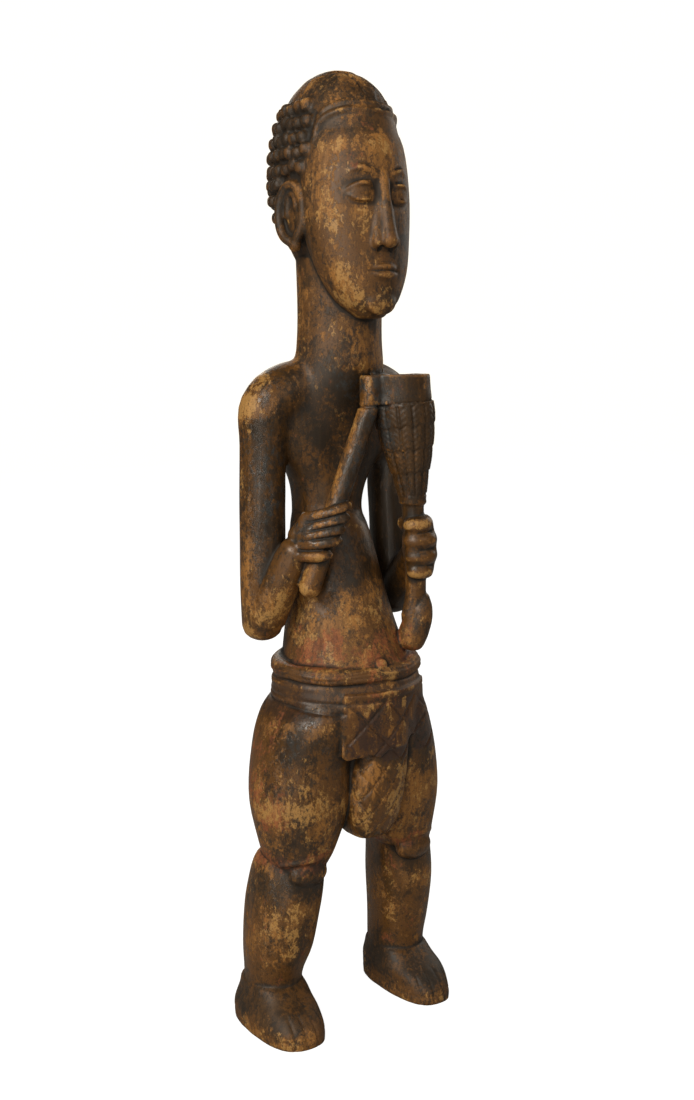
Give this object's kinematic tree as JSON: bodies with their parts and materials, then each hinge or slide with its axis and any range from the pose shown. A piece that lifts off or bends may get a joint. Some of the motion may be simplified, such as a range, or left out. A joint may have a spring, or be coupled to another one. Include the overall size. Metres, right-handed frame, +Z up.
{
  "type": "carved standing musician figure",
  "caption": "Slender standing musician carved from one log, striking a hand bell held upright with a short beater; stands on flat soles.",
  "frame": {"origin": "on the floor under the middle of the bounding box", "axes": "+Z up along the figure, -Y the way it looks, +X towards its own left hand"},
  "size_m": [0.2694, 0.2044, 1.1004],
  "materials": {
    "wood": "dark brown patina, worn to ochre on the high places, with traces of red and blue-grey pigment"
  },
  "bodies": {
    "root": {"musician_figure": "wood"}
  },
  "joints": []
}
